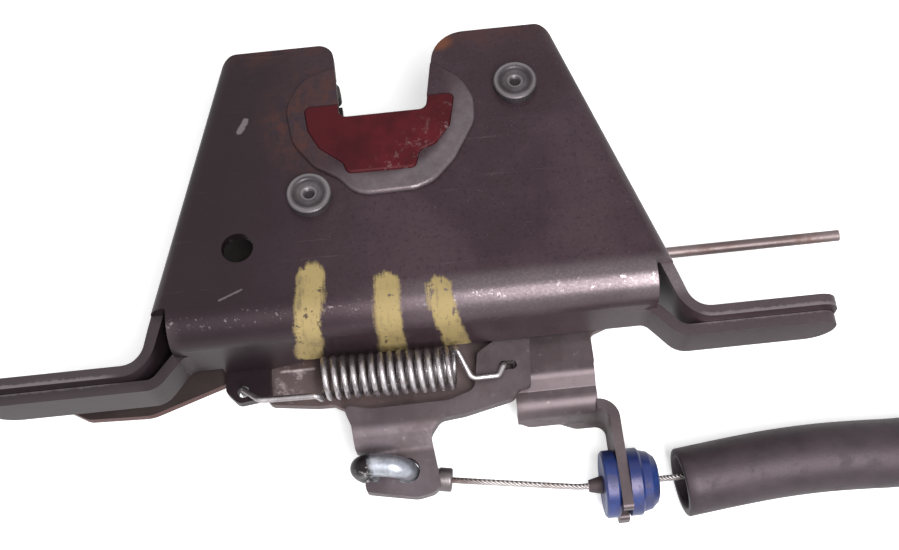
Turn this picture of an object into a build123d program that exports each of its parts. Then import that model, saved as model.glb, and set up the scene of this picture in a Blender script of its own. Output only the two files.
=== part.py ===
from build123d import *
from math import cos, hypot, radians, sin, tan
import os

# Seat latch lying on its back: +X along the bottom bend, +Y towards the slot's mouth, +Z out of the face.
# The origin is the centre of the latched striker, on the surface that the latch lies on. Millimetres.

# Levels
face_top = 43.5
front_sheet = 2.8
skirt_bottom = 22.7
lever_top = 22.0
lever_sheet = 3.0
rear_sheet = 2.5
rear_top = 16.1
cable_z = 9.0
running_gap = 0.3
fit_gap = 0.1

# Front plate, seen from the face
top_edge_y = 17.0
bend_start_y = -54.4
bend_radius = 7.5
wall_radius = 4.0
top_left_x = -41.1
top_right_x = 44.6
left_lean = 0.271
right_lean = 0.307
corner_radius = 5.0
relief_radius = 1.2
relief_left_x = -55.8
relief_right_x = 61.6
wall_end_z = 35.0

# Striker slot, window and pressed ring
striker_radius = 6.0
slot_left_x = -11.2
slot_left_mouth_x = -12.0
slot_right_x = 10.6
slot_right_mouth_x = 14.6
slot_left_round = 4.0
slot_right_round = 9.0
window_top_y = -2.2
window_corners = [
    (-20.2, window_top_y),
    (-19.5, -9.3),
    (-16.9, -14.6),
    (-11.2, -19.4),
    (-10.2, -22.6),
    (6.8, -22.8),
    (8.2, -18.2),
    (12.3, -16.6),
    (16.3, -11.8),
    (18.4, window_top_y),
]
window_round = 1.6
ring_corners = [
    (-13.0, 9.0),
    (-20.5, 6.4),
    (-25.0, -1.6),
    (-23.6, -12.0),
    (-18.4, -19.6),
    (-12.6, -23.2),
    (-8.2, -28.6),
    (6.5, -28.4),
    (11.2, -26.6),
    (16.6, -21.0),
    (22.6, -10.8),
    (23.2, -4.0),
    (20.4, 2.4),
    (13.4, 8.0),
]
ring_corner = 8.0
ring_height = 1.3
ring_round = 1.0
bumper_proud = 0.5
bumper_round = 0.7
bumper_lip = 1.8
bumper_lip_depth = 4.0
bumper_over_catch = 1.0

# Round hole in the face
face_hole_x = -38.2
face_hole_y = -39.2
face_hole_radius = 3.9

# Ears
ear_bottom = 22.0
ear_top = 33.2
ear_upper_lift = 3.6
ear_jog = 7.8
ear_right_x = 104.5
ear_left_x = -103.0
ear_low_round = 8.0
ear_top_round = 4.6
ear_bend = 6.4
jog_bend = 4.6
layer_gap = 0.1
weld_radius = 2.5
weld_inset = 18.0

# Spring tab under the left end of the skirt
tab_left_x = -46.4
tab_right_x = -35.2
tab_reach = 8.4
tab_shoulder_x = -24.0
tab_shoulder_z = 18.6
tab_hole_x = -42.0
tab_hole_y = -67.3
tab_hole_radius = 1.5

# Slot of the rear plate
rear_slot_length = 52.0
rear_slot_width = 25.4

# Rivets
catch_x = -19.9
catch_y = -27.3
lever_x = 33.9
lever_y = -1.1
head_radius = 5.5
head_height = 2.5
shank_radius = 3.0
tail_radius = 4.6
tail_height = 1.8
bush_wall = 2.2
spacer_wall = 2.8
washer_radius = 8.5

# Catch
catch_open_angle = 38.0
notch_radius = 6.5
notch_lean = -20.7
cam_radius = 43.0
hook_wall = 6.2
hook_mouth = 5.0
catch_hub_radius = 11.5
coat_wall = 1.0
coat_proud = 0.35
stop_radius = 2.5

# Lever
lever_eye_radius = 10.0
nose_gap = 0.35
spring_hole_x = 24.5
spring_hole_y = -68.4
spring_hole_radius = 1.2
spring_slot_length = 4.4
hook_hole_x = -2.8
hook_hole_y = -91.6
arm_edge_reach = 6.9
arm_drop = 3.5
arm_bend_y = -81.0
arm_bend_run = 5.0

# Springs
spring_wire = 1.5
spring_radius = 4.8
spring_turns = 14.5
spring_left_x = -22.0
spring_left_y = -68.4
spring_right_x = 11.5
spring_right_y = -69.0
spring_z = 25.6
return_wire = 1.6
return_radius = 8.0
return_turns = 3

# Cable bracket
bracket_sheet = 2.5
bracket_left_x = 25.8
bracket_right_x = 46.0
bracket_top_y = -48.0
joggle_y = -70.4
joggle_run = 3.2
bracket_wall_y = -80.0
bracket_bend = 4.2
wall_short_z = 5.6
wall_step_x = 36.5
fork_x = 49.6
fork_tip_y = -105.8
fork_curve = 6.0

# Cable
cable_y = -97.6
grommet_radius = 8.3
grommet_neck_radius = 4.6
seal_bore_radius = 1.1
seal_wall = 0.7
seal_cone = 3.4
wire_radius = 0.75
hook_rod_radius = 2.7
hook_hole_gap = 0.5
hook_yaw = 10.0
hook_elbow = 4.0
ferrule_reach = 7.4
ferrule_radius = 2.95
ferrule_length = 3.4
ferrule_socket = 1.0
sleeve_radius = 8.5
sleeve_wall = 2.1
sleeve_z = 8.5
sleeve_points = [(64.0, -99.0), (81.0, -97.0), (96.5, -96.2), (109.0, -96.5), (120.0, -97.2), (169.0, -97.2)]
conduit_radius = 2.5
conduit_start_x = 86.0
conduit_start_y = -96.6
coil_x = 197.0
coil_radius = 32.5
coil_turns = 2
tie_wall = 0.8
tie_width = 4.5
end_radius = 3.2
end_length = 12.0
tail_bend = 22.0
tail_end_angle = 60.0
nipple_radius = 3.0
nipple_height = 6.0

# Side rod
side_rod_radius = 1.45
side_rod_y = -41.7
side_rod_start_x = 53.0
side_rod_end_x = 113.3
side_rod_z = 20.2

os.makedirs("parts", exist_ok=True)

face_under = face_top - front_sheet
skirt_y = bend_start_y - bend_radius
skirt_mid_y = skirt_y + front_sheet / 2
lever_bottom = lever_top - lever_sheet
rear_bottom = rear_top - rear_sheet
lower_ear_y = skirt_mid_y - ear_jog
upper_ear_y = lower_ear_y + front_sheet + layer_gap
conduit_z = sleeve_z - sleeve_radius + sleeve_wall + conduit_radius + fit_gap / 2


def save(builder, label):
    builder.part.label = label
    export_step(builder.part, f"parts/{label}.step")
    print(f"{label}: {builder.part.volume:.0f} mm3, {len(builder.part.solids())} solid")


def left_wall_x(y, inset=0.0):
    return top_left_x - (top_edge_y - y) * left_lean + inset * hypot(1, left_lean)


def right_wall_x(y, inset=0.0):
    return top_right_x + (top_edge_y - y) * right_lean - inset * hypot(1, right_lean)


def turned(x, y, angle, about=(0.0, 0.0)):
    """A point of the plan turned about another, in degrees."""
    dx = x - about[0]
    dy = y - about[1]
    c = cos(radians(angle))
    s = sin(radians(angle))
    return (about[0] + c * dx - s * dy, about[1] + s * dx + c * dy)


def polar(radius, angle, about=(0.0, 0.0)):
    return (about[0] + radius * cos(radians(angle)), about[1] + radius * sin(radians(angle)))


def tray_corners(inset, over):
    """The folded tray in plan; inset by the sheet for the inside, which runs out past the top edge."""
    top = top_edge_y + over
    low = skirt_y + inset
    return [
        (left_wall_x(top, inset), top),
        (left_wall_x(low, inset), low),
        (right_wall_x(low, inset), low),
        (right_wall_x(top, inset), top),
    ]


def tray_body(inset, over, z_low, z_high):
    """One closed block of the tray with its three long bends rounded."""
    with BuildPart() as block:
        with BuildSketch(Plane.XY.offset(z_low)):
            with BuildLine():
                Polyline(tray_corners(inset, over), close=True)
            make_face()
        extrude(amount=z_high - z_low)
        low_edge = block.edges().group_by(Axis.Z)[-1].sort_by(Axis.Y)[0]
        fillet(low_edge, bend_radius - inset)
        rim = block.edges().group_by(Axis.Z)[-1]
        slanted = [edge for edge in rim if abs(edge.tangent_at(0.5).Y) > 0.5]
        fillet(slanted, wall_radius - inset)
    return block.part


def plan_face(points, rounds, grow=0.0):
    """A closed outline with rounded corners, in its own plan, grown outwards where asked."""
    with BuildSketch() as face:
        with BuildLine():
            FilletPolyline(points, radius=rounds, close=True)
        make_face()
        if grow:
            offset(amount=grow)
    return face.sketch


def wall_face(points, rounds, width):
    """A sheet standing on edge, seen in plan: a bent line given its thickness."""
    with BuildSketch() as face:
        with BuildLine() as line:
            FilletPolyline(points, radius=rounds)
        trace(lines=line.line, line_width=width)
    return face.sketch


def tube(points, rounds, radius):
    """A round bar along straight runs and tangent arcs."""
    with BuildPart() as bar:
        with BuildLine() as line:
            path = FilletPolyline(points, radius=rounds) if len(points) > 2 else Line(*points)
        with BuildSketch(Plane(origin=path @ 0, z_dir=path % 0)):
            Circle(radius)
        sweep(path=line.line)
    return bar.part


def turned_body(profile, x, y):
    """A body of revolution about a vertical axis; the profile is (radius, z)."""
    with BuildPart() as body:
        with BuildSketch(Plane(origin=(x, y, 0), x_dir=(1, 0, 0), z_dir=(0, -1, 0))):
            with BuildLine():
                Polyline(profile, close=True)
            make_face()
        revolve(axis=Axis((x, y, 0), (0, 0, 1)))
    return body.part


slot_top_y = top_edge_y + 12
slot_corners = [
    (slot_left_mouth_x - 14, slot_top_y),
    (slot_left_mouth_x - 14, top_edge_y),
    (slot_left_mouth_x, top_edge_y),
    (slot_left_x, -striker_radius),
    (slot_right_x, -striker_radius),
    (slot_right_mouth_x, top_edge_y),
    (slot_right_mouth_x + 18, top_edge_y),
    (slot_right_mouth_x + 18, slot_top_y),
]
slot_rounds = [0.4, 0.4, slot_left_round, 2.0, 2.0, slot_right_round, 0.4, 0.4]
slot_face = plan_face(slot_corners, slot_rounds)
ring_face = plan_face(ring_corners, ring_corner)
window_face = plan_face(window_corners, window_round)

# Front plate: one folded sheet, with its walls, skirt, double ears and the tab for the spring
ear_ends = {"left": (-1, ear_left_x, relief_left_x), "right": (1, ear_right_x, relief_right_x)}
ring_top = face_top + ring_height
cut_low = rear_bottom - 10
with BuildPart() as front_plate:
    add(tray_body(0.0, 0.0, rear_top, face_top))
    add(tray_body(front_sheet, 20.0, cut_low, face_under), mode=Mode.SUBTRACT)
    # skirt and walls end on a line that rises towards the slot's mouth
    with BuildSketch(Plane.YZ.offset(left_wall_x(skirt_y) - 5)):
        with BuildLine():
            Polyline(
                (skirt_y - 5, skirt_bottom),
                (bend_start_y + 6, skirt_bottom),
                (top_edge_y + 2, wall_end_z),
                (top_edge_y + 2, cut_low),
                (skirt_y - 5, cut_low),
                close=True,
            )
        make_face()
    extrude(amount=right_wall_x(skirt_y) - left_wall_x(skirt_y) + 10, mode=Mode.SUBTRACT)
    # rounded top corners
    with BuildSketch(Plane.XY.offset(cut_low)):
        add(plan_face(tray_corners(0, 0), [corner_radius, 0.2, 0.2, corner_radius]))
    extrude(amount=face_top - cut_low, mode=Mode.INTERSECT)
    # relief at both ends of the long bend
    for side, end_x, relief_x in ear_ends.values():
        with BuildSketch(Plane.XY.offset(cut_low)):
            with BuildLine():
                FilletPolyline(
                    (relief_x, skirt_y - 5),
                    (relief_x, bend_start_y + relief_radius),
                    (end_x, bend_start_y + relief_radius),
                    (end_x, skirt_y - 5),
                    radius=[relief_radius, 0.5, 0.5, 0.5],
                    close=True,
                )
            make_face()
        extrude(amount=face_top - cut_low + 5, mode=Mode.SUBTRACT)
    # the two layers of each ear
    for side, end_x, relief_x in ear_ends.values():
        wall_x = left_wall_x if side < 0 else right_wall_x
        half = front_sheet / 2
        upper_plan = wall_face(
            [(wall_x(-40.0, half), -40.0), (wall_x(upper_ear_y, half), upper_ear_y), (end_x, upper_ear_y)],
            ear_bend,
            front_sheet,
        )
        jog_run = ear_jog * 0.85
        lower_plan = wall_face(
            [
                (relief_x - side * 12, skirt_mid_y),
                (relief_x - side * 1.5, skirt_mid_y),
                (relief_x + side * (jog_run - 1.5), lower_ear_y),
                (end_x, lower_ear_y),
            ],
            jog_bend,
            front_sheet,
        )
        root_x = relief_x - side * 20
        ramp_x = wall_x(bend_start_y - 1.0, front_sheet)
        upper_top = ear_top + ear_upper_lift
        shapes = [
            (
                upper_plan,
                [
                    (root_x, ear_bottom),
                    (end_x, ear_bottom),
                    (end_x, upper_top),
                    (ramp_x + side * 10, upper_top),
                    (ramp_x + side * 3, face_top - wall_radius),
                    (root_x, face_top - wall_radius),
                ],
                [0.5, ear_low_round, ear_top_round, 5.0, 3.0, 0.5],
            ),
            (
                lower_plan,
                [
                    (root_x, skirt_bottom),
                    (relief_x, skirt_bottom),
                    (relief_x + side * 8, ear_bottom),
                    (end_x, ear_bottom),
                    (end_x, ear_top),
                    (root_x, ear_top),
                ],
                [0.5, 3.0, 3.0, ear_low_round - 1.5, ear_top_round - 0.4, 0.5],
            ),
        ]
        for plan, elevation, rounds in shapes:
            with BuildPart(mode=Mode.PRIVATE) as layer:
                with BuildSketch(Plane.XY.offset(cut_low)):
                    add(plan)
                extrude(amount=face_top - cut_low)
                with BuildSketch(Plane.XZ.offset(20)):
                    with BuildLine():
                        FilletPolyline(elevation, radius=rounds, close=True)
                    make_face()
                extrude(amount=80, mode=Mode.INTERSECT)
            add(layer.part)
        with Locations((end_x - side * weld_inset, upper_ear_y, (ear_bottom + ear_top) / 2)):
            Cylinder(weld_radius, front_sheet, rotation=(90, 0, 0))
    # the skirt runs lower at its left end, and turns out there into the tab for the spring
    with BuildSketch(Plane.XZ.offset(-skirt_y - front_sheet)):
        with BuildLine():
            FilletPolyline(
                (tab_left_x, skirt_bottom + 4),
                (tab_left_x, rear_top + running_gap),
                (tab_right_x, rear_top + running_gap),
                (tab_right_x, tab_shoulder_z),
                (tab_shoulder_x, skirt_bottom + 0.6),
                (tab_shoulder_x, skirt_bottom + 4),
                radius=[0.3, 0.3, 0.3, 0.6, 1.5, 0.3],
                close=True,
            )
        make_face()
    extrude(amount=front_sheet)
    with BuildSketch(Plane.XY.offset(rear_top + running_gap)):
        with BuildLine():
            FilletPolyline(
                (tab_left_x, skirt_y + front_sheet),
                (tab_left_x, skirt_y - tab_reach * 0.6),
                (tab_left_x + 3.0, skirt_y - tab_reach),
                (tab_right_x, skirt_y - tab_reach + 1.0),
                (tab_right_x, skirt_y + front_sheet),
                radius=[0.3, 2.0, 2.0, 1.5, 0.3],
                close=True,
            )
        make_face()
        with Locations((tab_hole_x, tab_hole_y)):
            Circle(tab_hole_radius, mode=Mode.SUBTRACT)
    extrude(amount=front_sheet)
    # pressed ring round the window, hollow behind
    with BuildSketch(Plane.XY.offset(face_top)):
        add(ring_face)
    extrude(amount=ring_height)
    rim = front_plate.edges().group_by(Axis.Z)[-1]
    fillet(rim, ring_round)
    with BuildSketch(Plane.XY.offset(face_under)):
        add(plan_face(ring_corners, ring_corner, -front_sheet * 0.6))
    extrude(amount=ring_height, mode=Mode.SUBTRACT)
    # slot, window, round hole and the rivet holes
    with BuildSketch(Plane.XY.offset(face_under - 1)):
        add(slot_face)
        add(window_face)
    extrude(amount=front_sheet + ring_height + 2, mode=Mode.SUBTRACT)
    for hole_x, hole_y, hole_radius in (
        (face_hole_x, face_hole_y, face_hole_radius),
        (catch_x, catch_y, shank_radius + fit_gap),
        (lever_x, lever_y, shank_radius + fit_gap),
    ):
        with Locations((hole_x, hole_y, face_under + front_sheet / 2)):
            Cylinder(hole_radius, front_sheet * 3, mode=Mode.SUBTRACT)
save(front_plate, "front_plate")

# Bumper: a moulded block that fills the window, with a lip behind the sheet
block_low = lever_top + coat_proud + bumper_over_catch
lip_top = face_under + ring_height - fit_gap
with BuildPart() as bumper:
    for grow, low, high in (
        (-1.0, block_low, lip_top - bumper_lip_depth),
        (bumper_lip, lip_top - bumper_lip_depth, lip_top),
        (-fit_gap, lip_top, ring_top + bumper_proud),
    ):
        with BuildSketch(Plane.XY.offset(low)):
            add(plan_face(window_corners, window_round, grow))
            add(plan_face(slot_corners, slot_rounds, fit_gap), mode=Mode.SUBTRACT)
            with Locations((0, window_top_y + 10)):
                Rectangle(80, 20, mode=Mode.SUBTRACT)
        extrude(amount=high - low)
    top_rim = bumper.edges().group_by(Axis.Z)[-1]
    fillet(top_rim, bumper_round)
save(bumper, "bumper")

# Rivets, with their dished heads on the face, and what sits on them
bush_top = lever_top + running_gap
for name, x, y in (("catch", catch_x, catch_y), ("lever", lever_x, lever_y)):
    shank_low = rear_bottom - tail_height
    rivet_profile = [
        (0, shank_low),
        (tail_radius - 0.6, shank_low),
        (tail_radius, shank_low + 0.6),
        (tail_radius, rear_bottom),
        (shank_radius, rear_bottom),
        (shank_radius, face_top),
        (head_radius, face_top),
        (head_radius, face_top + head_height - 0.3),
        (head_radius - 0.3, face_top + head_height),
        (head_radius - 1.5, face_top + head_height),
        (head_radius - 1.8, face_top + head_height - 0.25),
        (1.6, face_top + head_height - 0.45),
        (0.9, face_top + head_height - 1.1),
        (0, face_top + head_height - 1.2),
    ]
    with BuildPart() as rivet:
        add(turned_body(rivet_profile, x, y))
    save(rivet, f"{name}_rivet")
    inner = shank_radius + fit_gap
    for label, low, high, outer in (
        (f"{name}_bush", rear_top, bush_top, inner + bush_wall),
        (f"{name}_spacer", bush_top, face_under, inner + spacer_wall),
    ):
        with BuildPart() as ring:
            with BuildSketch(Plane(origin=(x, y, low))):
                Circle(outer)
                Circle(inner, mode=Mode.SUBTRACT)
            extrude(amount=high - low)
        save(ring, label)
    with BuildPart() as washer:
        with BuildSketch(Plane(origin=(x, y, rear_top))):
            Circle(washer_radius)
            Circle(inner + bush_wall + fit_gap, mode=Mode.SUBTRACT)
        extrude(amount=lever_bottom - fit_gap - rear_top)
    save(washer, f"{name}_washer")
bush_radius = shank_radius + fit_gap + bush_wall

# Catch, drawn closed on the striker and then turned to the open position of the photograph
pivot = (catch_x, catch_y)
lean = radians(notch_lean)
along = (cos(lean), sin(lean))
across = (-sin(lean), cos(lean))


def from_striker(forward, sideways):
    """A point relative to the latched striker: along the catch's notch, and across it."""
    return (
        forward * along[0] + sideways * across[0],
        forward * along[1] + sideways * across[1],
    )


def opened(points):
    return [turned(x, y, catch_open_angle, pivot) for x, y in points]


hook_radius = hypot(catch_x, catch_y) + notch_radius + hook_wall
catch_outline = [
    polar(catch_hub_radius, 200, pivot),
    polar(catch_hub_radius + 1.0, 150, pivot),
    polar(31.0, 90, pivot),
    polar(hook_radius, 71, pivot),
    polar(hook_radius + 0.6, 57, pivot),
    polar(hook_radius, 43, pivot),
    polar(hook_radius - hook_mouth, 41.5, pivot),
    from_striker(4.0, notch_radius),
    from_striker(-notch_radius, notch_radius),
    from_striker(-notch_radius, -notch_radius),
    from_striker(20.5, -notch_radius),
    polar(cam_radius, 14.5, pivot),
    polar(cam_radius - 2.2, 10.5, pivot),
    polar(cam_radius - 0.1, 9.5, pivot),
    polar(cam_radius, 0, pivot),
    polar(cam_radius, -12, pivot),
    polar(cam_radius - 1, -24, pivot),
    polar(31.0, -32, pivot),
    polar(catch_hub_radius, -75, pivot),
    polar(catch_hub_radius, -130, pivot),
]
catch_rounds = [6, 8, 8, 7, 8, 1.6, 1.6, 1.5, 6.4, 6.4, 1.6, 0.9, 0.6, 0.5, 8, 8, 3, 6, 6, 6]
coat_centre = turned(0, 0, catch_open_angle, pivot)
with BuildSketch() as coat_zone:
    with Locations(coat_centre):
        Circle(notch_radius + 9.0)
nominal = plan_face(opened(catch_outline), catch_rounds)
steel_core = plan_face(opened(catch_outline), catch_rounds, -coat_wall)
with BuildPart() as catch:
    with BuildSketch(Plane.XY.offset(lever_bottom)):
        add(nominal)
        add(coat_zone.sketch, mode=Mode.SUBTRACT)
        add(steel_core)
        with Locations(pivot):
            Circle(bush_radius + 0.06, mode=Mode.SUBTRACT)
        with Locations(turned(catch_x + 20, catch_y - 6, catch_open_angle, pivot)):
            Circle(4.0, mode=Mode.SUBTRACT)
    extrude(amount=lever_sheet)
save(catch, "catch")

with BuildPart() as catch_coat:
    with BuildSketch(Plane.XY.offset(lever_bottom - coat_proud)):
        add(nominal)
        add(plan_face(opened(catch_outline), catch_rounds, -coat_wall + 0.02), mode=Mode.SUBTRACT)
        add(coat_zone.sketch, mode=Mode.INTERSECT)
    extrude(amount=lever_sheet + 2 * coat_proud)
save(catch_coat, "catch_coat")

# Stop for the open catch, riveted into the rear plate behind the catch's back edge
back_a = turned(*polar(31.0, 90, pivot), catch_open_angle, pivot)
back_b = turned(*polar(catch_hub_radius + 1.0, 150, pivot), catch_open_angle, pivot)
back_length = hypot(back_b[0] - back_a[0], back_b[1] - back_a[1])
back_along = ((back_b[0] - back_a[0]) / back_length, (back_b[1] - back_a[1]) / back_length)
stop_reach = stop_radius + running_gap
stop_x = (back_a[0] + back_b[0]) / 2 + back_along[1] * stop_reach
stop_y = (back_a[1] + back_b[1]) / 2 - back_along[0] * stop_reach
with BuildPart() as stop_pin:
    add(
        turned_body(
            [
                (0, rear_bottom - 1.0),
                (stop_radius + 0.6, rear_bottom - 1.0),
                (stop_radius + 0.6, rear_bottom),
                (stop_radius - 0.7, rear_bottom),
                (stop_radius - 0.7, rear_top),
                (stop_radius, rear_top),
                (stop_radius, lever_top + 0.6),
                (stop_radius - 0.4, lever_top + 1.0),
                (0, lever_top + 1.0),
            ],
            stop_x,
            stop_y,
        )
    )
save(stop_pin, "stop_pin")

# Lever: one plate from the rivet down past the skirt, with the pawl's nose, the two holes and the cable arm
nose_r = cam_radius + nose_gap
arm_low = lever_bottom - arm_drop
hook_turn = lever_sheet / 2 + running_gap + hook_rod_radius
hook_along = (cos(radians(hook_yaw)), -sin(radians(hook_yaw)))


def hook_point(forward, z):
    """A point above or below the line that the cable's hook lies along, counted from its hole."""
    return (hook_hole_x + forward * hook_along[0], hook_hole_y + forward * hook_along[1], z)


arm_edge_x = hook_point(-arm_edge_reach, 0)[0]
notch_low_y = hook_point(-arm_edge_reach, 0)[1] - hook_rod_radius - hook_hole_gap
notch_high_y = hook_point(-arm_edge_reach, 0)[1] + hook_rod_radius + 2 * hook_hole_gap
lever_outline = [
    (lever_x - 9.0, lever_y + 6.0),
    (lever_x, lever_y + lever_eye_radius + 1.5),
    (lever_x + 10.5, lever_y + 5.0),
    (lever_x + 8.5, -22.0),
    (35.6, -48.0),
    (30.6, -62.0),
    (29.6, -74.2),
    (26.6, -74.6),
    (25.2, -77.0),
    (12.6, -79.8),
    (6.6, -80.4),
    (3.8, -83.4),
    (5.4, -97.2),
    (-0.6, -98.4),
    (-8.6, notch_low_y - 3.2),
    (-12.9, notch_low_y - 2.3),
    (-13.3, notch_low_y),
    (arm_edge_x, notch_low_y),
    (arm_edge_x, notch_high_y),
    (-15.0, notch_high_y + 1.0),
    (-15.4, -79.8),
    (-17.4, -74.4),
    (-10.4, -76.1),
    (9.0, -75.9),
    (15.6, -73.8),
    (17.2, -64.4),
    (23.8, -60.2),
    (25.4, -44.0),
    (25.6, -24.0),
    polar(nose_r, 11.2, pivot),
    polar(nose_r, 14.6, pivot),
    (lever_x - 8.6, lever_y - 9.5),
]
lever_rounds = [7, 7, 7, 12, 12, 8, 1.3, 1.4, 3, 6, 3, 2, 3, 5, 6, 1.0, 0.6, 1.0, 1.0, 0.8]
lever_rounds += [5, 1.2, 6, 4, 3, 1.5, 3, 12, 4, 0.8, 0.8, 5]
with BuildPart() as lever:
    with BuildSketch(Plane.XY.offset(arm_low - 5)):
        add(plan_face(lever_outline, lever_rounds))
        with Locations((lever_x, lever_y)):
            Circle(bush_radius + 0.06, mode=Mode.SUBTRACT)
        with Locations((spring_hole_x, spring_hole_y)):
            SlotOverall(spring_slot_length, spring_hole_radius * 2, mode=Mode.SUBTRACT)
        with Locations((hook_hole_x, hook_hole_y)):
            Circle(hook_rod_radius + hook_hole_gap, mode=Mode.SUBTRACT)
    extrude(amount=lever_top - arm_low + 10)
    with BuildSketch(Plane.YZ.offset(-60)):
        with BuildLine() as side_line:
            FilletPolyline(
                (lever_y + 30, lever_top - lever_sheet / 2),
                (arm_bend_y, lever_top - lever_sheet / 2),
                (arm_bend_y - arm_bend_run, arm_low + lever_sheet / 2),
                (arm_bend_y - 40, arm_low + lever_sheet / 2),
                radius=4.0,
            )
        trace(lines=side_line.line, line_width=lever_sheet)
    extrude(amount=140, mode=Mode.INTERSECT)
save(lever, "lever")

# Rear plate: flat, with its own slot, the lip seen left of the spring and the tongue under the left ear
rear_outline = [
    (-35.0, 13.0),
    (-31.0, 15.0),
    (39.0, 15.0),
    (43.5, 10.0),
    (57.5, -46.0),
    (57.5, -56.0),
    (46.5, -60.0),
    (46.5, -69.2),
    (-6.0, -69.2),
    (-12.0, -72.2),
    (-24.0, -72.0),
    (-35.6, -70.4),
    (-38.6, -66.0),
    (-45.0, -63.0),
    (-66.0, -70.0),
    (-82.0, -69.4),
    (-89.5, -65.0),
    (-86.0, -60.0),
    (-60.0, -52.0),
    (-53.0, -46.0),
]
rear_rounds = [3, 3, 4, 6, 8, 3, 2, 2, 4, 3, 12, 2, 2, 6, 10, 4, 3, 6, 6, 10]
with BuildPart() as rear_plate:
    with BuildSketch(Plane.XY.offset(rear_bottom)):
        add(plan_face(rear_outline, rear_rounds))
        with Locations((0, 5)):
            SlotOverall(rear_slot_length, rear_slot_width, rotation=90, mode=Mode.SUBTRACT)
        for x, y in ((catch_x, catch_y), (lever_x, lever_y)):
            with Locations((x, y)):
                Circle(shank_radius + fit_gap, mode=Mode.SUBTRACT)
        with Locations((stop_x, stop_y)):
            Circle(stop_radius - 0.7 + fit_gap, mode=Mode.SUBTRACT)
        with Locations((side_rod_start_x, side_rod_y)):
            Circle(side_rod_radius + fit_gap, mode=Mode.SUBTRACT)
    extrude(amount=rear_sheet)
save(rear_plate, "rear_plate")

# Cable bracket: laps on the rear plate, steps down past its edge, turns down and round into the fork
half_bracket = bracket_sheet / 2
bracket_low = 0.0
wall_mid_y = bracket_wall_y + half_bracket
lap_z = rear_top + half_bracket
low_z = rear_top - half_bracket
with BuildPart() as cable_bracket:
    with BuildSketch(Plane.YZ.offset(bracket_left_x)):
        with BuildLine() as bracket_line:
            FilletPolyline(
                (bracket_top_y, lap_z),
                (joggle_y, lap_z),
                (joggle_y - joggle_run, low_z),
                (wall_mid_y, low_z),
                (wall_mid_y, bracket_low),
                radius=[1.9, 1.6, bracket_bend - half_bracket],
            )
        trace(lines=bracket_line.line, line_width=bracket_sheet)
    extrude(amount=bracket_right_x - bracket_left_x)
    # the wall is shorter towards its free end
    with BuildSketch(Plane.XZ.offset(-bracket_wall_y - bracket_sheet)):
        with BuildLine():
            FilletPolyline(
                (bracket_left_x - 2, bracket_low - 2),
                (bracket_left_x - 2, wall_short_z + 4.6),
                (bracket_left_x + 0.8, wall_short_z + 3.2),
                (bracket_left_x + 3.0, wall_short_z),
                (wall_step_x, wall_short_z),
                (wall_step_x + 4.0, bracket_low + 0.6),
                (wall_step_x + 9.0, bracket_low - 2),
                radius=[0.5, 0.5, 1.6, 1.8, 1.2, 1.5, 0.5],
                close=True,
            )
        make_face()
    extrude(amount=bracket_sheet, mode=Mode.SUBTRACT)
    with BuildSketch(Plane.XY.offset(bracket_low)):
        add(
            wall_face(
                [(bracket_right_x - 0.4, wall_mid_y), (fork_x, wall_mid_y), (fork_x, fork_tip_y)],
                fork_curve - half_bracket - 0.8,
                bracket_sheet,
            )
        )
    extrude(amount=rear_top - bracket_low)
    # the fork's slot, open at its tip
    with BuildSketch(Plane.YZ.offset(fork_x - bracket_sheet * 2)):
        with Locations((cable_y, cable_z)):
            Circle(grommet_neck_radius + fit_gap)
        with Locations((fork_tip_y - 10 + (cable_y - fork_tip_y + 10) / 2, cable_z)):
            Rectangle(cable_y - fork_tip_y + 10, 2 * (grommet_neck_radius + fit_gap) - 1.2)
    extrude(amount=bracket_sheet * 4, mode=Mode.SUBTRACT)
    tips = cable_bracket.edges().filter_by(Axis.X).group_by(Axis.Y)[0]
    fillet(tips, 1.0)
save(cable_bracket, "cable_bracket")


def about_cable(profile):
    """A body of revolution about the cable's axis; the profile is (x, radius)."""
    with BuildPart() as body:
        with BuildSketch(Plane(origin=(0, cable_y, cable_z), x_dir=(1, 0, 0), z_dir=(0, -1, 0))):
            with BuildLine():
                Polyline(profile, close=True)
            make_face()
        revolve(axis=Axis((0, cable_y, cable_z), (1, 0, 0)))
    return body.part


# Grommet and its seal, turned about the cable
fork_left = fork_x - half_bracket
fork_right = fork_x + half_bracket
grommet_bore = seal_bore_radius + seal_wall
with BuildPart() as grommet:
    add(
        about_cable(
            [
                (fork_left - 3.6, grommet_bore),
                (fork_left - 3.6, grommet_radius - 0.5),
                (fork_left - 3.1, grommet_radius),
                (fork_left - 0.6, grommet_radius),
                (fork_left - fit_gap, grommet_radius - 0.5),
                (fork_left - fit_gap, grommet_neck_radius),
                (fork_right + fit_gap, grommet_neck_radius),
                (fork_right + fit_gap, grommet_radius),
                (fork_right + 2.8, grommet_radius),
                (fork_right + 3.4, grommet_radius - 0.7),
                (fork_right + 5.4, grommet_radius - 1.2),
                (fork_right + 7.0, grommet_radius - 2.6),
                (fork_right + 7.4, grommet_radius - 3.6),
                (fork_right + 7.4, grommet_bore),
            ]
        )
    )
save(grommet, "grommet")

seal_face = fork_left - 3.6
seal_tip = seal_face - seal_cone
with BuildPart() as grommet_seal:
    add(
        about_cable(
            [
                (seal_tip, seal_bore_radius),
                (seal_tip, seal_bore_radius + 0.4),
                (seal_face - fit_gap, grommet_bore + 0.5),
                (seal_face - fit_gap, grommet_bore - 0.04),
                (fork_right + 5.0, grommet_bore - 0.04),
                (fork_right + 5.0, seal_bore_radius),
            ]
        )
    )
save(grommet_seal, "grommet_seal")

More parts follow.
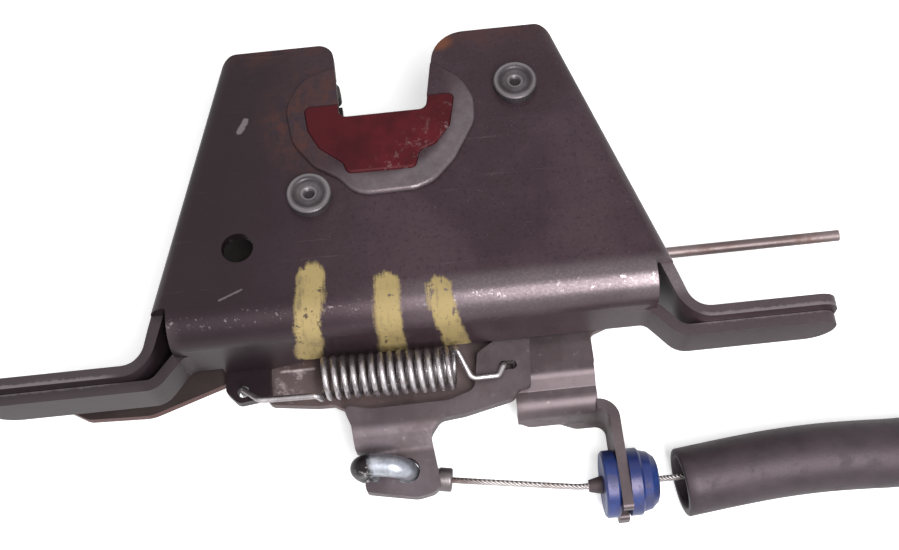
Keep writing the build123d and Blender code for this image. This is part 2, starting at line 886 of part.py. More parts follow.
# Cable end: a hook bent from round rod, a ferrule and the wire that runs through the grommet
hook_back_z = arm_low + lever_sheet / 2 - hook_turn
hook_front_z = hook_back_z + 2 * hook_turn
hook_left = -arm_edge_reach - hook_turn
hook_tip_z = arm_low + 0.3
hook_bend = hook_turn - fit_gap / 2
with BuildPart() as cable_hook:
    add(
        tube(
            [
                hook_point(ferrule_reach, hook_back_z),
                hook_point(hook_left, hook_back_z),
                hook_point(hook_left, hook_front_z),
                hook_point(0, hook_front_z),
                hook_point(0, hook_tip_z),
            ],
            [hook_bend, hook_bend, hook_elbow],
            hook_rod_radius,
        )
    )
save(cable_hook, "cable_hook")

wire_start = ferrule_reach + ferrule_socket
with BuildPart() as ferrule:
    with BuildSketch(Plane(origin=hook_point(ferrule_reach, hook_back_z), z_dir=(*hook_along, 0))):
        Circle(ferrule_radius)
    extrude(amount=ferrule_length)
    fillet(ferrule.edges().filter_by(GeomType.CIRCLE), 0.5)
    with BuildSketch(Plane(origin=hook_point(wire_start, hook_back_z), z_dir=(*hook_along, 0))):
        Circle(wire_radius + 0.02)
    extrude(amount=ferrule_length, mode=Mode.SUBTRACT)
save(ferrule, "ferrule")

with BuildPart() as inner_wire:
    add(
        tube(
            [
                hook_point(wire_start, hook_back_z),
                hook_point(wire_start + 5.5, hook_back_z),
                (seal_tip - 2.4, cable_y, cable_z),
                (fork_right + 11.0, cable_y, cable_z),
                (conduit_start_x - 0.2, conduit_start_y, conduit_z),
            ],
            20,
            wire_radius,
        )
    )
save(inner_wire, "inner_wire")

# Side rod: hooked down into the rear plate
with BuildPart() as side_rod:
    add(
        tube(
            [
                (side_rod_start_x, side_rod_y, rear_bottom - 0.6),
                (side_rod_start_x, side_rod_y, side_rod_z),
                (side_rod_end_x, side_rod_y, side_rod_z),
            ],
            2.4,
            side_rod_radius,
        )
    )
save(side_rod, "side_rod")

# Spring of the catch: three turns round its spacer, with a short straight leg at each end
def coil_of_wire(height, pitch, radius, wire, place):
    """A helical spring's turns, made upright at the origin and then placed."""
    with BuildPart() as turns:
        with BuildLine() as line:
            Helix(pitch=pitch, height=height, radius=radius)
        with BuildSketch(Plane(origin=line.line @ 0, z_dir=line.line % 0)):
            Circle(wire / 2)
        sweep(path=line.line)
    return place * turns.part


spring_pitch = return_wire + 0.4
spring_low = lever_top + 1.4
spring_height = spring_pitch * return_turns
catch_turns = coil_of_wire(
    spring_height, spring_pitch, return_radius, return_wire, Location((catch_x, catch_y, spring_low))
)
leg_x = catch_x + return_radius
leg_splay = 1.0
with BuildPart() as catch_spring:
    add(catch_turns)
    for leg, z in ((-9.0, spring_low), (4.0, spring_low + spring_height)):
        start_y = catch_y - return_wire * 0.4 * (1 if leg > 0 else -1)
        leg_end = (leg_x + leg_splay, catch_y + leg, z + leg_splay / 2)
        add(tube([(leg_x, start_y, z), leg_end], 0, return_wire / 2))
save(catch_spring, "catch_spring")

# Long spring between the tab and the lever, with its two hooked ends
coil_start = Vector(spring_left_x, spring_left_y, spring_z)
coil_axis = Vector(spring_right_x, spring_right_y, spring_z) - coil_start
coil_place = Plane(origin=coil_start, x_dir=(coil_axis.Y, -coil_axis.X, 0), z_dir=coil_axis).location
spring_coil = coil_of_wire(
    coil_axis.length, coil_axis.length / spring_turns, spring_radius, spring_wire, coil_place
)
first = (coil_place * Location((spring_radius, 0, 0))).position
last = (coil_place * Location((-spring_radius, 0, coil_axis.length))).position
leg_z = lever_top + spring_wire / 2 + 0.4
leg_hole_x = spring_hole_x - spring_hole_radius + 0.2
with BuildPart() as extension_spring:
    add(spring_coil)
    add(
        tube(
            [
                (first.X, first.Y, first.Z - 0.1),
                (first.X - 0.8, first.Y + 0.1, first.Z + 1.4),
                (tab_hole_x + 5.0, tab_hole_y - 4.6, first.Z - 1.0),
                (tab_hole_x, tab_hole_y, rear_top + front_sheet + 2.4),
                (tab_hole_x, tab_hole_y, rear_top - 1.0),
            ],
            [1.0, 3.0, 1.6],
            spring_wire / 2,
        )
    )
    add(
        tube(
            [
                (last.X, last.Y, last.Z - 0.1),
                (last.X + 0.5, last.Y - 0.4, last.Z + 1.6),
                (last.X + 3.6, last.Y - 7.4, leg_z + 0.7),
                (leg_hole_x - 1.6, spring_hole_y - 2.9, leg_z + 0.1),
                (leg_hole_x, spring_hole_y, leg_z),
                (leg_hole_x, spring_hole_y, lever_bottom - 0.4),
            ],
            [1.0, 2.0, 1.2, 0.9],
            spring_wire / 2,
        )
    )
save(extension_spring, "extension_spring")

# Hose that lies on the floor, with the cable's conduit inside it and coming out at its far end
half_turn_share = 0.45


def cord_rounds(points):
    """The largest arcs that a cord's runs leave room for."""
    runs = [Vector(*b) - Vector(*a) for a, b in zip(points, points[1:])]
    rounds = []
    for before, after in zip(runs, runs[1:]):
        half = radians(before.get_angle(after)) / 2
        rounds.append(half_turn_share * min(before.length, after.length) / tan(half))
    return rounds


hose_points = [(x, y, sleeve_z) for x, y in sleeve_points]
with BuildPart() as sleeve:
    add(tube(hose_points, cord_rounds(hose_points), sleeve_radius))
    add(tube(hose_points, cord_rounds(hose_points), sleeve_radius - sleeve_wall), mode=Mode.SUBTRACT)
save(sleeve, "sleeve")

coil_mid_z = tie_wall + conduit_radius
conduit_pitch = 2 * conduit_radius
coil_outer = coil_radius + conduit_radius
coil_inner = coil_outer - conduit_pitch * coil_turns
hose_end = hose_points[-1]
coil_y = hose_end[1] + coil_radius
ring_meet_x = coil_x - ((coil_outer + 0.5) ** 2 - (coil_radius - conduit_radius) ** 2) ** 0.5
conduit_points = [
    (conduit_start_x, conduit_start_y, conduit_z),
    (*sleeve_points[3], conduit_z),
    (*sleeve_points[4], conduit_z),
    (hose_end[0] + 1.0, hose_end[1], conduit_z),
    (ring_meet_x, coil_y - coil_radius, coil_mid_z + 0.6),
]
with BuildPart() as conduit:
    add(tube(conduit_points, cord_rounds(conduit_points), conduit_radius))
save(conduit, "conduit")

with BuildPart() as conduit_coil:
    with BuildSketch(Plane.XY.offset(tie_wall)):
        with Locations((coil_x, coil_y)):
            Circle(coil_outer)
            Circle(coil_inner, mode=Mode.SUBTRACT)
    extrude(amount=2 * conduit_radius)
    fillet(conduit_coil.edges(), conduit_radius * 0.6)
save(conduit_coil, "conduit_coil")

with BuildPart() as coil_tie:
    tie_y = coil_y + (coil_outer + coil_inner) / 2
    with BuildSketch(Plane.YZ.offset(coil_x - tie_width / 2)):
        with Locations((tie_y, coil_mid_z)):
            RectangleRounded(coil_outer - coil_inner + 2.2 * tie_wall, 2 * conduit_radius + 2 * tie_wall, 1.6)
            RectangleRounded(
                coil_outer - coil_inner + 0.2 * tie_wall,
                2 * conduit_radius + 0.1 * tie_wall,
                0.7,
                mode=Mode.SUBTRACT,
            )
    extrude(amount=tie_width)
save(coil_tie, "coil_tie")

# Far end, inside the coil: the conduit's end cap, the bare wire and its barrel nipple
tail_x = coil_x
tail_y = coil_y - (coil_inner + conduit_radius - tail_bend)
end_point = polar(tail_bend, tail_end_angle, (tail_x, tail_y))
end_dir = (-sin(radians(tail_end_angle)), cos(radians(tail_end_angle)))
tail_start_angle = 6.0
tail_half = (tail_end_angle - tail_start_angle) / 2
tail_start = polar(tail_bend, tail_start_angle, (tail_x, tail_y))
tail_corner = polar(tail_bend / cos(radians(tail_half)), tail_start_angle + tail_half, (tail_x, tail_y))
tail_points = [(*xy, coil_mid_z) for xy in (tail_start, tail_corner, end_point)]
with BuildPart() as conduit_tail:
    add(tube(tail_points, cord_rounds(tail_points), conduit_radius))
save(conduit_tail, "conduit_tail")

with BuildPart() as conduit_end:
    with BuildSketch(Plane(origin=(*end_point, coil_mid_z), z_dir=(*end_dir, 0))):
        Circle(end_radius)
    extrude(amount=end_length)
    fillet(conduit_end.edges().filter_by(GeomType.CIRCLE), 0.6)
save(conduit_end, "conduit_end")

past_end = end_length + fit_gap
wire_out = (end_point[0] + end_dir[0] * past_end, end_point[1] + end_dir[1] * past_end)
far_points = [
    (*wire_out, coil_mid_z),
    (wire_out[0] + end_dir[0] * 6.0, wire_out[1] + end_dir[1] * 6.0, coil_mid_z),
    (coil_x - 15.0, coil_y + 8.0, coil_mid_z),
    (coil_x - 14.0, coil_y - 1.0, coil_mid_z),
]
with BuildPart() as far_wire:
    add(tube(far_points, 4.5, wire_radius))
save(far_wire, "far_wire")

with BuildPart() as far_nipple:
    nipple_place = (coil_x - 13.6, coil_y - 1.0 - nipple_radius - fit_gap, coil_mid_z - nipple_height / 2)
    with BuildSketch(Plane(origin=nipple_place)):
        Circle(nipple_radius)
    extrude(amount=nipple_height)
    fillet(far_nipple.edges().filter_by(GeomType.CIRCLE), 0.4)
save(far_nipple, "far_nipple")
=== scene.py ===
import math

import bpy
from mathutils import Matrix, Vector


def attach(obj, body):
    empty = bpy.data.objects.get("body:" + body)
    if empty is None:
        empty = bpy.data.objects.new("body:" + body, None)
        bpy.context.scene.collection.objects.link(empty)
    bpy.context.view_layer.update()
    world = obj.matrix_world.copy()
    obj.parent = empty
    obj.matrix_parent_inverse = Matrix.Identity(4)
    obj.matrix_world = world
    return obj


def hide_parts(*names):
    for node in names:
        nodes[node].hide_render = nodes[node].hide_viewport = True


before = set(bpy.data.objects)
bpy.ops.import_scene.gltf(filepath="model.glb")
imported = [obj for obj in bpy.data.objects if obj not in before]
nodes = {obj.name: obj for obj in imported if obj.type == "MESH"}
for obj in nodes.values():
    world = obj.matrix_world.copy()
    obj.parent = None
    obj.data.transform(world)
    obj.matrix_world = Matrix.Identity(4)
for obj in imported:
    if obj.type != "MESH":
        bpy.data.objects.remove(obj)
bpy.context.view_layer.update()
mm = 0.001


# a socket that can stand in a sum: each operator adds a Math node
class Value:
    def __init__(self, net, socket):
        self.net = net
        self.socket = socket

    def __add__(self, other):
        return self.net.math("ADD", self, other)

    def __radd__(self, other):
        return self.net.math("ADD", other, self)

    def __sub__(self, other):
        return self.net.math("SUBTRACT", self, other)

    def __rsub__(self, other):
        return self.net.math("SUBTRACT", other, self)

    def __mul__(self, other):
        return self.net.math("MULTIPLY", self, other)

    def __rmul__(self, other):
        return self.net.math("MULTIPLY", other, self)

    def __truediv__(self, other):
        return self.net.math("DIVIDE", self, other)

    def __rtruediv__(self, other):
        return self.net.math("DIVIDE", other, self)

    def __abs__(self):
        return self.net.math("ABSOLUTE", self)

    def root(self):
        return self.net.math("SQRT", self)

    def wave(self):
        return self.net.math("SINE", self)

    def most(self, other):
        return self.net.math("MAXIMUM", self, other)

    def least(self, other):
        return self.net.math("MINIMUM", self, other)

    def clamp(self):
        return self.net.math("ADD", self, 0.0, clamp=True)


class Net:
    def __init__(self, tree):
        self.tree = tree

    def feed(self, socket, item):
        if isinstance(item, Value):
            self.tree.links.new(item.socket, socket)
        else:
            socket.default_value = item

    # settings come first, because they decide which sockets a node has
    def node(self, kind, settings=None, inputs=None):
        made = self.tree.nodes.new(kind)
        for key, value in (settings or {}).items():
            setattr(made, key, value)
        for key, item in (inputs or {}).items():
            self.feed(made.inputs[key], item)
        return made

    def value(self, node, out=0):
        return Value(self, node.outputs[out])

    def math(self, operation, *items, clamp=False):
        settings = {"operation": operation, "use_clamp": clamp}
        return self.value(self.node("ShaderNodeMath", settings, dict(enumerate(items))))

    # 0 below low and 1 above high, or the other way round where low is the larger
    def step(self, value, low, high):
        inputs = {"Value": value, "From Min": low, "From Max": high}
        return self.value(self.node("ShaderNodeMapRange", {"interpolation_type": "SMOOTHSTEP"}, inputs))

    def mix(self, share, first, second):
        inputs = {0: share, 6: first, 7: second}
        return self.value(self.node("ShaderNodeMix", {"data_type": "RGBA"}, inputs), 2)


# a material's nodes, with the place on the object in millimetres
class Surface(Net):
    def __init__(self, name):
        self.material = bpy.data.materials.new(name)
        self.material.use_nodes = True
        super().__init__(self.material.node_tree)
        self.tree.nodes.clear()
        self.shader = self.node("ShaderNodeBsdfPrincipled")
        self.node("ShaderNodeOutputMaterial", None, {"Surface": self.value(self.shader)})
        self.place = self.value(self.node("ShaderNodeTexCoord"), "Object")
        self.x, self.y, self.z = [part * 1000 for part in self.split(self.place)]
        facing = self.value(self.node("ShaderNodeNewGeometry"), "Normal")
        self.facingY, self.facingZ = self.split(facing)[1:]

    def split(self, vector):
        parts = self.node("ShaderNodeSeparateXYZ", None, {"Vector": vector})
        return [self.value(parts, axis) for axis in "XYZ"]

    def noise(self, scale, detail, rough, stretch=None):
        at = self.place
        if stretch:
            scaled = self.node("ShaderNodeVectorMath", {"operation": "MULTIPLY"}, {0: self.place, 1: stretch})
            at = self.value(scaled)
        inputs = {"Vector": at, "Scale": scale, "Detail": detail, "Roughness": rough}
        return self.value(self.node("ShaderNodeTexNoise", None, inputs))

    def distance(self, x, y):
        return ((self.x - x) * (self.x - x) + (self.y - y) * (self.y - y)).root()

    def spot(self, middle, reach, edge, wobble):
        across = (self.x - middle[0]) / reach[0]
        along = (self.y - middle[1]) / reach[1]
        return self.step((across * across + along * along).root() + wobble, 1.0, 1.0 - edge)

    # a brush stroke or scratch from start to end, where y may be measured round a bend
    def stroke(self, y, mark, edge, wobble):
        start, end, width = mark
        runX = end[0] - start[0]
        runY = end[1] - start[1]
        length = runX * runX + runY * runY
        share = (((self.x - start[0]) * runX + (y - start[1]) * runY) / length).clamp()
        offX = self.x - start[0] - share * runX
        offY = y - start[1] - share * runY
        return self.step((offX * offX + offY * offY).root() + wobble, width, width * (1.0 - edge))

    def finish(self, color, rough, metallic, height=None, depth=0.1, **others):
        inputs = {"Base Color": color, "Roughness": rough, "Metallic": metallic}
        if height is not None:
            bump = self.node("ShaderNodeBump", None, {"Height": height, "Distance": depth * mm, "Strength": 1.0})
            inputs["Normal"] = self.value(bump)
        for key, item in others.items():
            inputs[key.replace("_", " ")] = item
        for key, item in inputs.items():
            self.feed(self.shader.inputs[key], item)
        return self.material


def paint(material, *names):
    for name in names:
        thing = nodes[name] if isinstance(name, str) else name
        thing.data.materials.clear()
        thing.data.materials.append(material)


def smooth(thing, angle=35.0):
    for face in thing.data.polygons:
        face.use_smooth = True
    thing.data.set_sharp_from_angle(angle=math.radians(angle))


def placed(name, data):
    made = bpy.data.objects.new(name, data)
    bpy.context.scene.collection.objects.link(made)
    return made


def meshPiece(name, vertices, faces):
    mesh = bpy.data.meshes.new(name)
    mesh.from_pydata(vertices, [], faces)
    mesh.update()
    return placed(name, mesh)


redrawn = ("sleeve", "conduit", "conduit_coil", "conduit_tail")  # the cords below stand for these
for name, thing in nodes.items():
    if name not in redrawn:
        smooth(thing)

# in each look, lengths are in millimetres, and a pair is where a mark fades from none to full
print("materials: folded plate")
plateLook = {
    "coat": (0.026, 0.0155, 0.0195, 1.0),
    "pale": (0.044, 0.028, 0.034, 1.0),
    "dark": (0.009, 0.006, 0.0075, 1.0),
    "bare": (0.26, 0.225, 0.235, 1.0),
    "rust": (0.062, 0.021, 0.013, 1.0),
    "orange": (0.20, 0.065, 0.02, 1.0),
    "yellow": (0.32, 0.245, 0.105, 1.0),
    "yellowDark": (0.20, 0.155, 0.075, 1.0),
    "tint": (1.0, 0.76, 0.85, 1.0),
    "shine": 0.32,
    "faceHeight": 43.5,
    "bendRadius": 7.5,
    "leftShadeRun": (4.0, -44.0),
    "ringMiddle": (-1.0, -5.0),
    "ringOuter": (26.5, 24.0),
    "ringInner": (17.0, 20.0),
    "ringHeight": (43.55, 44.4),
    "ringLitCorner": (6.0, 26.0),
    "bendLine": -57.2,
    "crestWidth": (2.6, 0.5),
    "crestHeight": (38.0, 41.5),
    "rubbedSheenLine": -56.8,
    "rubbedSheenWidth": (6.0, 2.0),
    "rubbedSheenHeight": (36.0, 39.5),
    "rubbedSheenRun": (-18.0, 22.0),
    "earLine": -66.6,
    "earRimWidth": (0.9, 0.2),
    "earRimRun": (68.0, 74.0),
    "earTopRun": (62.0, 66.0),
    "cutHeight": (43.3, 42.9),
    "cutRun": (52.0, 56.0),
    "rustTop": (9.0, 18.0),
    "rustMiddle": (-19.0, -6.0),
    "rustReach": (15.0, 20.0),
    "orangeMiddle": (15.8, 14.5),
    "orangeReach": (4.5, 3.5),
    "scuff": ((-36.8, -6.6), (-35.2, -3.6), 1.0),
    "scuffHeight": (42.6, 43.3),
    "scratch": ((-42.8, -52.6), (-37.4, -50.4), 0.35),
    "daubs": (
        ((-20.6, -48.6), (-24.2, -76.5), 3.9),
        ((-2.9, -52.6), (-3.3, -78.0), 3.7),
        ((9.4, -55.2), (12.6, -79.0), 3.6),
    ),
}


# the plate's coat, with painted shade darkening it towards the left
def plateCoatAndShade(net, look, cloud, grain):
    speck = net.noise(2600, 2.0, 0.5)
    streak = net.noise(160, 4.0, 0.6, (1.0, 0.12, 1.0))
    color = net.mix(net.step(cloud, 0.35, 0.68), look["coat"], look["pale"])
    color = net.mix(net.step(streak, 0.55, 0.8) * 0.35, color, look["dark"])
    color = net.mix(net.step(grain, 0.5, 0.7) * 0.45, color, look["dark"])
    color = net.mix(net.step(speck, 0.66, 0.78) * 0.35, color, look["bare"])
    # painted shade: the plate darkens towards its left, away from the light
    return net.mix(net.step(net.x, *look["leftShadeRun"]) * 0.9, color, look["dark"])


# rust along the top edge and left of the slot
def plateRust(net, look, blotch):
    topEdge = net.step(net.y + blotch * 14, *look["rustTop"])
    slotSide = net.spot(look["rustMiddle"], look["rustReach"], 0.7, blotch * 1.1)
    flakes = net.step(net.noise(260, 5.0, 0.7), 0.38, 0.62)
    return (topEdge * 0.55 + slotSide * 0.75).clamp() * flakes


# lighter toward bare metal: the ring's lower right, worn and with a painted highlight on its lit side, nicks on the
# crest of the bend, a painted sheen over rubbed wear on the bend's right part, the edges and a few scratches
def plateWearAndSheen(net, look, grain):
    x, y, z = net.x, net.y, net.z
    fromMiddle = net.distance(*look["ringMiddle"])
    # the ring's lower right: worn bare, with a painted highlight on its lit side
    ring = net.step(fromMiddle, *look["ringOuter"]) * net.step(fromMiddle, *look["ringInner"])
    ring = ring * net.step(z, *look["ringHeight"]) * net.step(x * 0.75 - y, *look["ringLitCorner"])
    ring = ring * (0.55 + net.step(net.noise(420, 5.0, 0.65), 0.2, 0.8) * 0.45)
    crest = net.step(abs(y - look["bendLine"]), *look["crestWidth"]) * net.step(z, *look["crestHeight"])
    nicks = crest * net.step(net.noise(620, 5.0, 0.7), 0.58, 0.68)
    lines = net.step(net.noise(70, 6.0, 0.8, (0.35, 9.0, 1.0)), 0.62, 0.68)
    # painted sheen over rubbed wear along the bend's right part, standing in for its highlight
    rubbedSheen = net.step(abs(y - look["rubbedSheenLine"]), *look["rubbedSheenWidth"]) * net.step(z, *look["rubbedSheenHeight"])
    rubbedSheen = rubbedSheen * net.step(x, *look["rubbedSheenRun"])
    rubbedSheen = rubbedSheen * (0.45 + net.step(net.noise(1500, 4.0, 0.7), 0.40, 0.66) * 0.22)
    wear = (ring * 0.5 + nicks * 0.7 + lines * 0.10 + rubbedSheen * 0.62).clamp()
    rough = grain - 0.5
    scuff = net.stroke(y, look["scuff"], 0.5, rough * 0.8) * net.step(z, *look["scuffHeight"])
    scratch = net.stroke(y, look["scratch"], 0.6, rough * 0.35)
    earRim = net.step(abs(y - look["earLine"]) + rough * 1.2, *look["earRimWidth"])
    earRim = earRim * net.step(net.facingZ, 0.3, 0.7) * net.step(abs(x), *look["earRimRun"])
    earTop = net.step(abs(x), *look["earTopRun"]) * net.step(net.facingZ, 0.5, 0.85)
    cutEdge = net.step(z, *look["cutHeight"]) * net.step(net.facingZ, 0.2, 0.7) * net.step(abs(x), *look["cutRun"])
    edges = earTop * 0.05 + earRim * 0.5 + cutEdge * 0.10
    return (wear + scuff * 0.6 + scratch * 0.45 + edges).clamp()


# dry brush strokes that run down over the bend and the skirt
def plateDaubs(net, look, blotch):
    top = look["faceHeight"]
    radius = look["bendRadius"]
    down = net.y - (top - net.z).least(radius) * 0.57 - (top - radius - net.z).most(0.0)
    bristle = net.noise(620, 4.0, 0.7, (1.0, 0.14, 0.14)) - 0.5
    fray = net.noise(420, 5.0, 0.75) - 0.5
    ragged = bristle * 3.4 + fray * 2.6 + blotch * 1.6
    strokes = [net.stroke(down, daub, 0.35, ragged) for daub in look["daubs"]]
    painted = strokes[0].most(strokes[1]).most(strokes[2]) * net.step(net.facingZ - net.facingY, 0.4, 0.7)
    thin = net.step(bristle * 0.8 + fray * 0.5 + blotch * 0.5, -0.26, 0.02)
    missed = net.step(fray + bristle * 0.6, 0.10, 0.17) * 0.85
    return painted, thin, missed


def plateMaterial(look):
    net = Surface("plate_coating")
    cloud = net.noise(38, 5.0, 0.6)
    grain = net.noise(900, 3.0, 0.6)
    blotch = net.noise(120, 6.0, 0.65) - 0.5
    color = plateCoatAndShade(net, look, cloud, grain)
    rusty = plateRust(net, look, blotch)
    color = net.mix(rusty * 0.8, color, look["rust"])
    orange = net.spot(look["orangeMiddle"], look["orangeReach"], 0.8, blotch)
    color = net.mix(orange * 0.5, color, look["orange"])
    # wear here also carries the painted highlight on the ring and the painted sheen on the bend
    wear = plateWearAndSheen(net, look, grain)
    color = net.mix(wear, color, look["bare"])
    painted, thin, missed = plateDaubs(net, look, blotch)
    yellow = net.mix(thin, look["yellowDark"], look["yellow"])
    color = net.mix(painted * (1.0 - missed) * (0.8 + thin * 0.2), color, yellow)
    rough = 0.36 + (cloud - 0.5) * 0.14 + painted * 0.3 + rusty * 0.25 - wear * 0.12
    metal = wear * 0.7 * (1.0 - painted)
    height = grain * 0.30 + blotch * 0.35 + painted * 0.6 + thin * painted * 0.5
    return net.finish(
        color, rough, metal, height, 0.08, Specular_IOR_Level=look["shine"], Specular_Tint=look["tint"]
    )


paint(plateMaterial(plateLook), "front_plate")

print("materials: other plates")
leverLook = {
    "base": (0.078, 0.060, 0.067, 1.0),
    "pale": (0.112, 0.089, 0.098, 1.0),
    "dark": (0.048, 0.035, 0.040, 1.0),
    "stain": (0.075, 0.050, 0.050, 1.0),
    "bare": (0.46, 0.42, 0.43, 1.0),
    "cloudScale": 70,
    "rollStretch": (1.0, 0.2, 1.0),
    "stained": 0.35,
    "worn": 0.12,
    "rough": 0.45,
    "metal": 0.6,
}
bracketLook = {
    **leverLook,
    "base": (0.075, 0.056, 0.061, 1.0),
    "pale": (0.108, 0.083, 0.090, 1.0),
    "stained": 0.6,
}
rearLook = {
    "base": (0.085, 0.056, 0.056, 1.0),
    "pale": (0.150, 0.108, 0.108, 1.0),
    "dark": (0.035, 0.023, 0.022, 1.0),
    "stain": (0.125, 0.062, 0.048, 1.0),
    "bare": (0.55, 0.46, 0.46, 1.0),
    "farEnd": (0.016, 0.008, 0.008, 1.0),
    "farEdge": (0.11, 0.035, 0.03, 1.0),
    "patch": (0.13, 0.092, 0.096, 1.0),
    "shade": (0.008, 0.006, 0.006, 1.0),
    "farRun": (-38.0, -50.0),
    "patchMiddle": (-29.5, -65.0),
    "patchWidth": (5.4, 4.6),
    "patchHeight": (3.8, 3.0),
    "patchCorner": (7.5, 3.0),
    "lineMiddle": (-28.6, -61.9),
    "lineWidth": (4.8, 4.0),
    "lineHeight": (0.45, 0.15),
    "shadeRun": (-60.0, -56.0),
    "cloudScale": 55,
    "rollStretch": (0.2, 1.0, 1.0),
    "stained": 0.5,
    "worn": 0.2,
    "rough": 0.52,
    "metal": 0.35,
}
rodLook = {
    **rearLook,
    "base": (0.12, 0.09, 0.09, 1.0),
    "pale": (0.20, 0.155, 0.155, 1.0),
    "rough": 0.42,
    "metal": 0.6,
}


def sheetMaterial(name, look, details=None):
    net = Surface(name)
    cloud = net.noise(look["cloudScale"], 5.0, 0.6)
    grain = net.noise(800, 4.0, 0.6)
    roll = net.noise(120, 4.0, 0.65, look["rollStretch"])
    color = net.mix(net.step(cloud, 0.36, 0.66), look["base"], look["pale"])
    color = net.mix(net.step(roll, 0.5, 0.74) * 0.4, color, look["dark"])
    stain = net.step(net.noise(75, 6.0, 0.7), 0.52, 0.66)
    color = net.mix(stain * look["stained"], color, look["stain"])
    wear = net.step(net.noise(420, 5.0, 0.7), 0.6, 0.7)
    color = net.mix(wear * look["worn"], color, look["bare"])
    if details:
        color = details(net, look, color)
    rough = look["rough"] + (cloud - 0.5) * 0.3 + stain * 0.15 - wear * 0.1
    return net.finish(color, rough, look["metal"], grain * 0.5 + roll * 0.3, 0.05)


# painted shade darkening the left tongue, whose edge is rusty, the worn patch beside the spring with a painted
# highlight along its top, and painted shade on the inside
def rearDetails(net, look, color):
    # painted shade: the left tongue darkens almost to black
    farEnd = net.step(net.x, *look["farRun"])
    color = net.mix(farEnd * 0.85, color, look["farEnd"])
    color = net.mix(farEnd * net.step(net.facingZ, 0.6, 0.3) * 0.6, color, look["farEdge"])
    middleX, middleY = look["patchMiddle"]
    ragged = (net.noise(260, 5.0, 0.7) - 0.5) * 1.6
    patch = net.step(abs(net.x - middleX) + ragged, *look["patchWidth"])
    patch = patch * net.step(abs(net.y - middleY) + ragged, *look["patchHeight"])
    color = net.mix(patch * 0.75, color, look["patch"])
    scuffs = net.step(net.noise(330, 6.0, 0.75), 0.47, 0.62)
    scuffs = scuffs * net.step(net.x - net.y * 0.5, *look["patchCorner"])
    # a painted highlight along the top of the worn patch, where a bend would catch the light
    highlightX, highlightY = look["lineMiddle"]
    line = net.step(abs(net.y - highlightY), *look["lineHeight"]) * net.step(abs(net.x - highlightX), *look["lineWidth"])
    color = net.mix((patch * scuffs * 0.6 + line * 0.55).clamp(), color, look["bare"])
    # painted shade on the up-facing inside near the face's hole
    insideShade = net.step(net.y, *look["shadeRun"]) * net.step(net.facingZ, 0.2, 0.8)
    return net.mix(insideShade * 0.85, color, look["shade"])


rearCoating = sheetMaterial("rear_coating", rearLook, rearDetails)
paint(sheetMaterial("lever_zinc", leverLook), "lever", "catch")
paint(sheetMaterial("bracket_zinc", bracketLook), "cable_bracket")
paint(rearCoating, "rear_plate")
paint(sheetMaterial("rod_zinc", rodLook), "side_rod")

print("materials: steel parts")
rivetLook = {
    "base": (0.070, 0.062, 0.067, 1.0),
    "pale": (0.125, 0.112, 0.120, 1.0),
    "bright": (0.21, 0.19, 0.20, 1.0),
    "dark": (0.022, 0.018, 0.020, 1.0),
    "rough": 0.46,
    "dirty": 0.3,
    "centres": ((-19.9, -27.3), (33.9, -1.1)),
    "rimRadius": 4.9,
    "rimHeight": (45.0, 45.7),
    "grooveRadius": 3.6,
    "grooveHeight": (43.6, 43.8),
    "pitRadius": 1.7,
    "pitHeight": (44.0, 44.4),
}
bushLook = {
    "base": (0.28, 0.26, 0.24, 1.0),
    "pale": (0.40, 0.37, 0.35, 1.0),
    "rough": 0.35,
    "dirty": 0.3,
}
springLook = {
    "base": (0.31, 0.28, 0.29, 1.0),
    "pale": (0.48, 0.445, 0.46, 1.0),
    "rough": 0.27,
    "dirty": 0.3,
}
hookLook = {
    "base": (0.31, 0.325, 0.37, 1.0),
    "pale": (0.52, 0.54, 0.59, 1.0),
    "burnt": (0.010, 0.005, 0.005, 1.0),
    "chips": (0.60, 0.55, 0.56, 1.0),
    "burntRun": (-10.6, -12.4),
    "chipsRun": (-90.6, -91.4),
    "rough": 0.38,
    "dirty": 0.35,
}
ferruleLook = {
    "base": (0.075, 0.062, 0.066, 1.0),
    "pale": (0.19, 0.165, 0.172, 1.0),
    "rough": 0.36,
    "dirty": 0.4,
}
steelDirt = (0.07, 0.055, 0.045, 1.0)


def steelMaterial(name, look, details=None):
    net = Surface(name)
    cloud = net.noise(160, 5.0, 0.6)
    grain = net.noise(1500, 3.0, 0.6)
    color = net.mix(net.step(cloud, 0.35, 0.65), look["base"], look["pale"])
    dirt = net.step(net.noise(300, 6.0, 0.7), 0.5, 0.64)
    color = net.mix(dirt * look["dirty"], color, steelDirt)
    if details:
        color = details(net, look, color, cloud)
    turned = net.noise(700, 2.0, 0.5)
    rough = look["rough"] + (cloud - 0.5) * 0.3 + dirt * 0.1
    return net.finish(color, rough, 0.85, grain * 0.5 + turned * 0.3, 0.03)


# painted highlight on the rim and round the pit, and painted shade in the groove and the pit in the middle of each
# rivet's head
def rivetDetails(net, look, color, cloud):
    for centre in look["centres"]:
        reach = net.distance(*centre)
        # painted highlights on the rim and round the pit, painted shade in the groove and the middle pit
        rim = net.step(abs(reach - look["rimRadius"]), 0.5, 0.15) * net.step(net.z, *look["rimHeight"])
        pitHighlight = net.step(abs(reach - look["pitRadius"]), 0.4, 0.1) * net.step(net.z, *look["pitHeight"])
        grooveShade = net.step(abs(reach - look["grooveRadius"]), 0.9, 0.2) * 0.7 + net.step(reach, 1.3, 0.8)
        color = net.mix(grooveShade.clamp() * net.step(net.z, *look["grooveHeight"]) * 0.75, color, look["dark"])
        color = net.mix((rim + pitHighlight).clamp() * (0.45 + cloud * 0.5), color, look["bright"])
    return color


